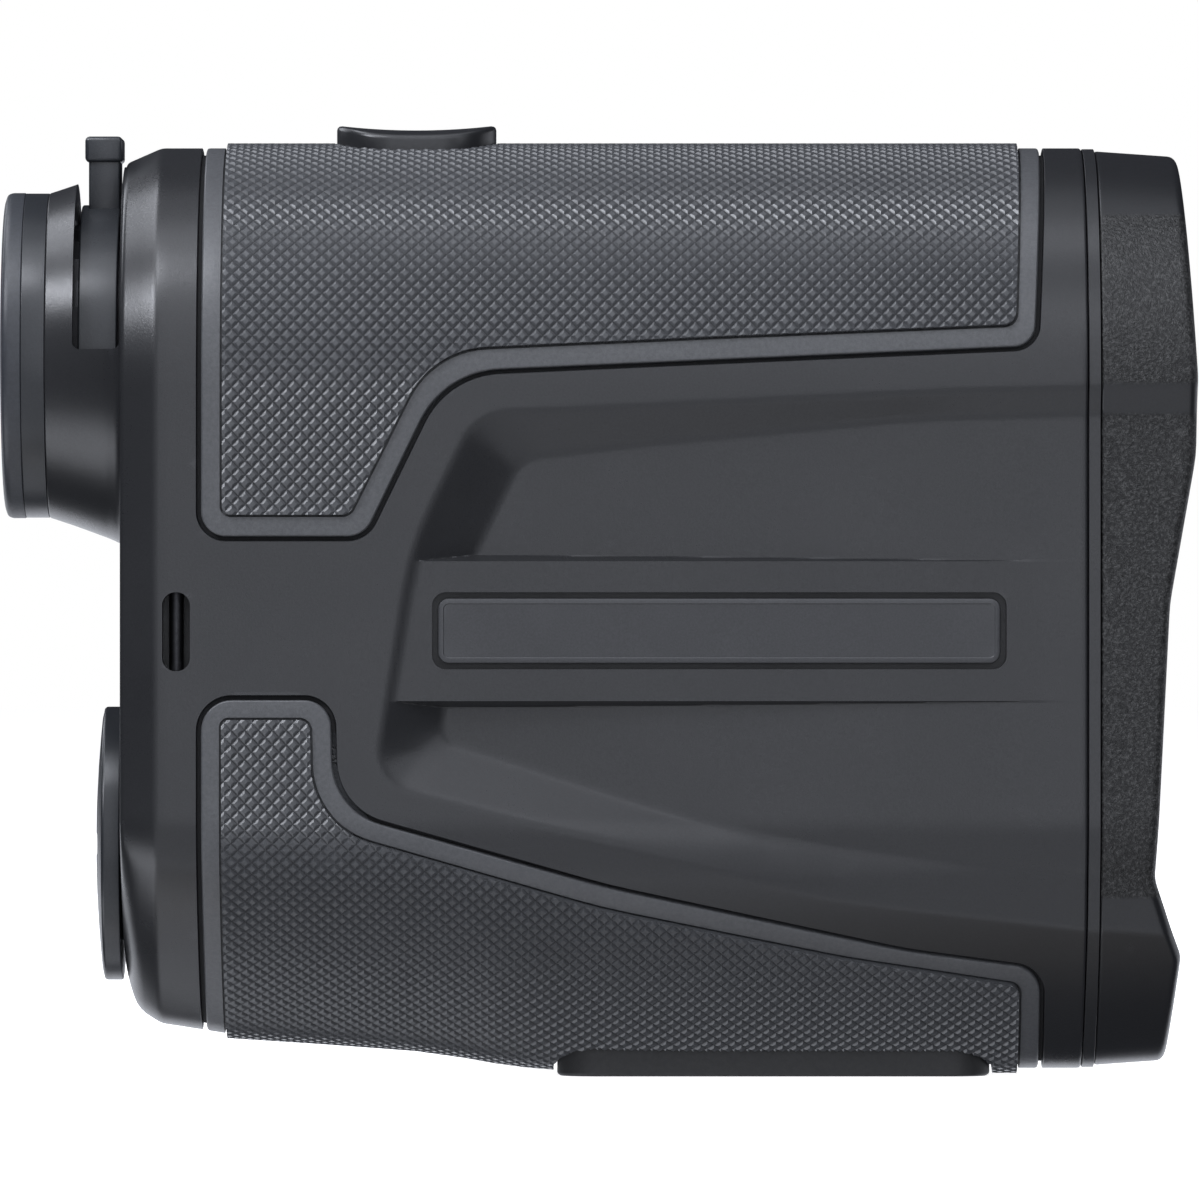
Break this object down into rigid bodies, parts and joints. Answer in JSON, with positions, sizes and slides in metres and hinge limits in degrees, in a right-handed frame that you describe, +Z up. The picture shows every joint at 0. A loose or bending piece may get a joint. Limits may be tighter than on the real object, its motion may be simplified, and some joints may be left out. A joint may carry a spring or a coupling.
{
  "type": "laser rangefinder",
  "caption": "Upright pocket laser rangefinder: ribbed moulded body in rubber armour, twist-up eyecup, diopter lever, screw battery cap, sprung buttons and a lobed front hood.",
  "frame": {"origin": "middle of the underside, on the plane that the foot stands on", "axes": "+X towards the objective, +Z up, +Y towards the user's left as they look through it"},
  "size_m": [0.0987, 0.0416, 0.0792],
  "materials": {
    "shell": "fine-grained dark grey moulded plastic, satin",
    "bezel": "dark grey plastic with a rough speckled texture",
    "armour_rubber": "dark grey rubber armour, matt",
    "foot_rubber": "matt black rubber",
    "eyecup_rubber": "blue-grey soft rubber",
    "seal_rubber": "black seal rubber",
    "plate_film": "bare satin grey plate",
    "black_metal": "black anodised",
    "matt_black_metal": "matt black anodised, light-absorbing",
    "matt_black": "matt black, light-absorbing",
    "steel": "plain steel",
    "coated_glass": "anti-reflection coated",
    "circuit_board": "green solder mask",
    "chip_resin": "black resin",
    "brass": "plain brass",
    "battery_wrap": "plain blue-grey sleeve"
  },
  "bodies": {
    "housing": {"main_housing": "shell", "front_bezel": "bezel", "upper_armour": "armour_rubber", "lower_armour": "armour_rubber", "base_pad": "foot_rubber", "front_gasket": "seal_rubber", "nameplate_left": "plate_film", "nameplate_right": "plate_film", "eyepiece_barrel": "black_metal", "objective_retaining_ring": "black_metal", "receiver_retaining_ring": "black_metal", "laser_diode_module": "black_metal", "objective_cell": "matt_black_metal", "receiver_cell": "matt_black_metal", "prism_holder": "matt_black", "barrel_screw_1": "steel", "barrel_screw_2": "steel", "barrel_screw_3": "steel", "board_screw_1": "steel", "board_screw_2": "steel", "board_screw_3": "steel", "clamp_screw_1": "steel", "clamp_screw_2": "steel", "strap_pin": "steel", "prism_clamp": "steel", "objective_lens": "coated_glass", "receiver_lens": "coated_glass", "roof_prism": "coated_glass", "main_board": "circuit_board", "display_module": "circuit_board", "receiver_board": "circuit_board", "trigger_switch": "chip_resin", "mode_switch": "chip_resin", "battery_tube": "chip_resin", "battery_contact": "brass", "battery": "battery_wrap"},
    "diopter": {"diopter_ring": "shell"},
    "ocular": {"ocular_cell": "matt_black", "eye_lens": "coated_glass", "field_lens": "coated_glass", "ocular_spacer_ring": "black_metal"},
    "eyecup_guide": {"eyecup_guide_ring": "black_metal"},
    "eyecup": {"eyecup_sleeve": "shell", "eyecup_rubber": "eyecup_rubber"},
    "cap_seal": {"cap_seal_ring": "seal_rubber"},
    "battery_cap": {"battery_cap": "shell", "cap_spring": "steel"},
    "trigger": {"trigger_button": "shell"},
    "mode": {"mode_button": "shell"}
  },
  "joints": [
    {"name": "ocular_slide", "type": "slide", "parent": "housing", "child": "ocular", "axis": [1, 0, 0], "range_m": [-0.0012, 0.0012]},
    {"name": "diopter_turn", "type": "hinge", "parent": "housing", "child": "diopter", "pos_m": [-0.0414, 0, 0.06], "axis": [1, 0, 0], "range_deg": [-60.01, 60.01]},
    {"name": "eyecup_slide", "type": "slide", "parent": "housing", "child": "eyecup_guide", "axis": [-1, 0, 0], "range_m": [0, 0.0035]},
    {"name": "eyecup_twist", "type": "hinge", "parent": "eyecup_guide", "child": "eyecup", "pos_m": [-0.0475, 0, 0.06], "axis": [-1, 0, 0], "range_deg": [0, 90.01]},
    {"name": "cap_seal_slide", "type": "slide", "parent": "housing", "child": "cap_seal", "axis": [-1, 0, 0], "range_m": [0, 0.0045]},
    {"name": "cap_turn", "type": "hinge", "parent": "cap_seal", "child": "battery_cap", "pos_m": [-0.0405, 0, 0.0193], "axis": [-1, 0, 0], "range_deg": [0, 1080.1]},
    {"name": "trigger_press", "type": "slide", "parent": "housing", "child": "trigger", "axis": [0, 0, -1], "range_m": [0, 0.0008], "stiffness_N_per_m": 1200, "springref_m": -0.0004},
    {"name": "mode_press", "type": "slide", "parent": "housing", "child": "mode", "axis": [0, -1, 0], "range_m": [0, 0.0006], "stiffness_N_per_m": 1200, "springref_m": -0.0003}
  ],
  "couplings": [
    {"joint": "diopter_turn", "follows": "ocular_slide", "rad_per_m": 872.66},
    {"joint": "eyecup_twist", "follows": "eyecup_slide", "rad_per_m": 448.8},
    {"joint": "cap_turn", "follows": "cap_seal_slide", "rad_per_m": 4188.8}
  ]
}
